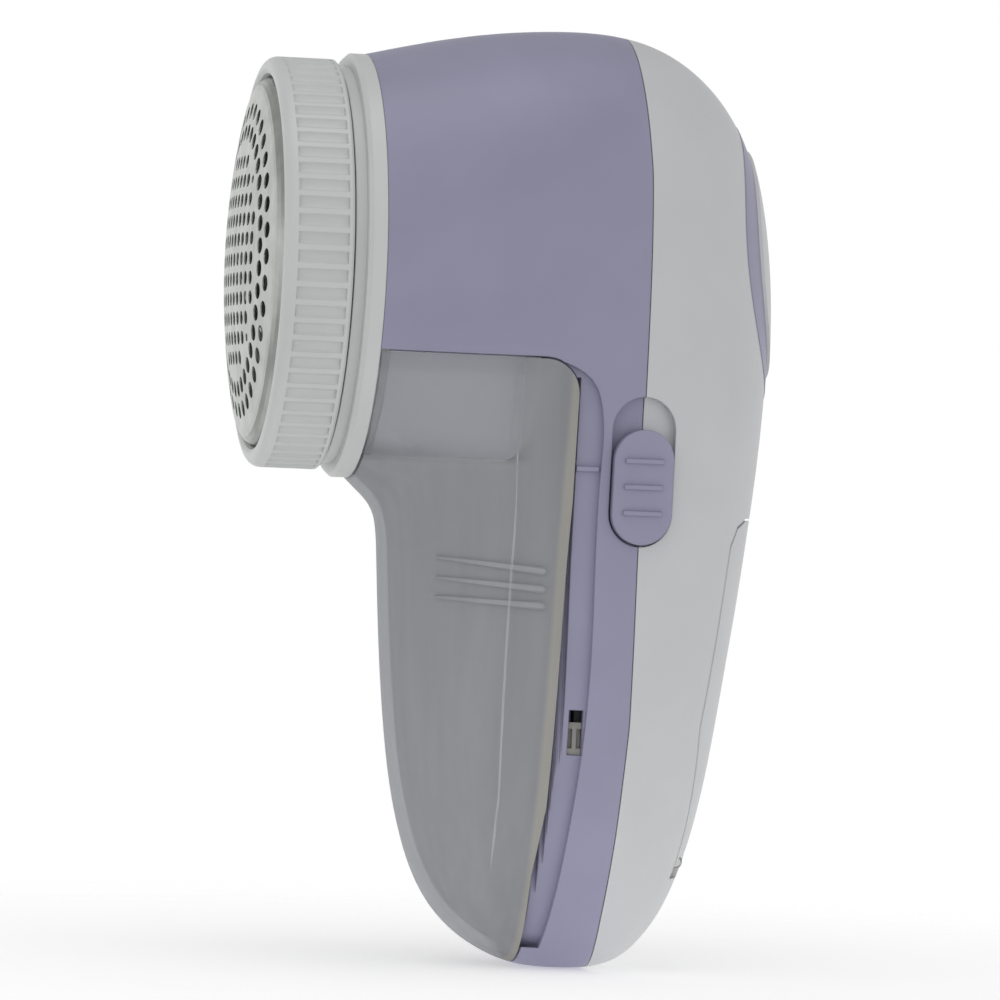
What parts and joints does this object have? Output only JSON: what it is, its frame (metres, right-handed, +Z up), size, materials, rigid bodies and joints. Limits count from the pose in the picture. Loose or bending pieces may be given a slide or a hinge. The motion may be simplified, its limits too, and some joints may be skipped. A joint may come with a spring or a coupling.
{
  "type": "fabric shaver",
  "caption": "Handheld battery fabric shaver with a domed perforated foil, knurled guard ring, sliding switch and clear lint bin.",
  "frame": {"origin": "centre of the flat end of the handle, the face it can stand on", "axes": "+Z up the handle, -X the way the shaving head faces, -Y the side with the slide switch"},
  "size_m": [0.0801, 0.062, 0.1372],
  "materials": {
    "lilac_abs": "satin moulded ABS",
    "white_abs": "satin moulded ABS",
    "white_ring": "moulded ABS",
    "clear_bin": "clear moulded styrene",
    "foil_steel": "stamped stainless",
    "blade_steel": "ground stainless",
    "zinc_steel": "bright zinc plate",
    "bronze": "sintered bronze",
    "copper": "drawn copper",
    "nickel_strip": "nickel plated strip",
    "black_nylon": "moulded nylon",
    "grey_acetal": "moulded acetal",
    "motor_steel": "zinc plated drawn steel",
    "ferrite": "sintered ferrite",
    "lamination": "stamped silicon steel",
    "cell_wrap": "plain printed film on steel",
    "foam": "closed cell foam",
    "red_pvc": "PVC insulation",
    "black_pvc": "PVC insulation",
    "blue_pvc": "PVC insulation"
  },
  "bodies": {
    "housing": {"front_housing": "lilac_abs", "rear_housing": "white_abs", "accent_ring": "lilac_abs", "badge_panel": "white_abs", "collar": "white_ring", "chamber_wall": "white_ring", "chamber_screws": "zinc_steel", "lint_hood": "white_abs", "motor_can": "motor_steel", "motor_bushes": "bronze", "motor_end_cap": "grey_acetal", "motor_terminals": "nickel_strip", "motor_magnets": "ferrite", "motor_cradle": "black_nylon", "motor_clamp": "black_nylon", "clamp_screws": "zinc_steel", "battery_left": "cell_wrap", "battery_right": "cell_wrap", "battery_tray": "black_nylon", "contact_springs": "zinc_steel", "contact_link": "nickel_strip", "contact_positive": "nickel_strip", "contact_negative": "nickel_strip", "hinge_pin": "zinc_steel", "switch_base": "black_nylon", "switch_contacts": "nickel_strip", "wire_red": "red_pvc", "wire_black": "black_pvc", "wire_blue": "blue_pvc", "case_screws": "zinc_steel", "bin_latches": "clear_bin"},
    "foil": {"shaving_foil": "foil_steel", "foil_frame": "white_ring"},
    "guard": {"guard_ring": "white_ring"},
    "cutter": {"blade_carrier": "grey_acetal", "blades": "blade_steel", "carrier_cap": "zinc_steel", "impeller": "black_nylon", "drive_coupling": "grey_acetal", "armature": "lamination", "rotor_windings": "copper", "commutator": "copper", "motor_shaft": "blade_steel"},
    "bin": {"lint_bin": "clear_bin"},
    "switch": {"switch_knob": "lilac_abs", "switch_slider": "black_nylon"},
    "cover": {"battery_cover": "white_abs", "cover_pad": "foam"}
  },
  "joints": [
    {"name": "cutter_spin", "type": "hinge", "parent": "housing", "child": "cutter", "pos_m": [-0.03, 0, 0.1014], "axis": [-1, 0, 0], "continuous": true},
    {"name": "foil_lift", "type": "slide", "parent": "housing", "child": "foil", "axis": [-1, 0, 0], "range_m": [0, 0.0069]},
    {"name": "guard_turn", "type": "hinge", "parent": "foil", "child": "guard", "pos_m": [-0.042, 0, 0.1014], "axis": [-1, 0, 0], "range_deg": [0, 96]},
    {"name": "bin_slide", "type": "slide", "parent": "housing", "child": "bin", "axis": [0, 0, -1], "range_m": [0, 0.092]},
    {"name": "switch_slide", "type": "slide", "parent": "housing", "child": "switch", "axis": [0, 0, 1], "range_m": [0, 0.0042]},
    {"name": "cover_hinge", "type": "hinge", "parent": "housing", "child": "cover", "pos_m": [0.01712, 0, 0.016], "axis": [0, 1, 0], "range_deg": [0, 90]}
  ],
  "couplings": [
    {"joint": "guard_turn", "follows": "foil_lift", "rad_per_m": 241.66}
  ]
}
